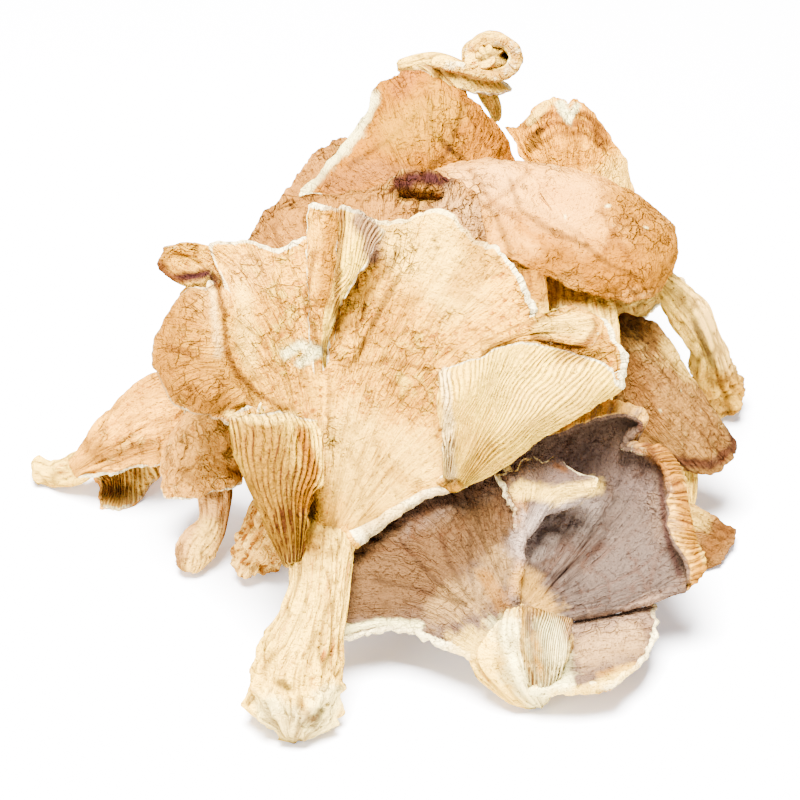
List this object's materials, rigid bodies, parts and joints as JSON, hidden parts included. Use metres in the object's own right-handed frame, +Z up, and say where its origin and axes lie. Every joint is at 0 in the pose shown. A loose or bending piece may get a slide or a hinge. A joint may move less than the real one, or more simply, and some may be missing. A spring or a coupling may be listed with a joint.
{
  "type": "oyster mushroom cluster",
  "caption": "Loose heap of dried oyster mushrooms, fan-shaped caps leaning on one another with gills and stems showing.",
  "frame": {"origin": "middle of the bounding box at its bottom, on the table", "axes": "+Z up, +X across the heap to the right as seen from the front, +Y towards its back"},
  "size_m": [0.1503, 0.145, 0.0771],
  "materials": {
    "pale_flesh": "matt, dried",
    "pink_flesh": "matt, dried",
    "grey_flesh": "matt, dried",
    "golden_flesh": "matt, dried",
    "tan_flesh": "matt, dried",
    "brown_flesh": "matt, dried"
  },
  "bodies": {
    "root": {"front_fan": "pale_flesh", "grey_twin": "grey_flesh", "smooth_dome": "pink_flesh", "golden_cap": "golden_flesh", "curled_top": "pale_flesh", "ridged_shell": "tan_flesh", "left_wing": "tan_flesh", "little_left": "tan_flesh", "spongy_stub": "pale_flesh", "brown_tongue": "brown_flesh", "low_right": "brown_flesh", "pale_stem": "pale_flesh", "netted_cap": "brown_flesh", "back_cap": "pink_flesh"}
  },
  "joints": []
}
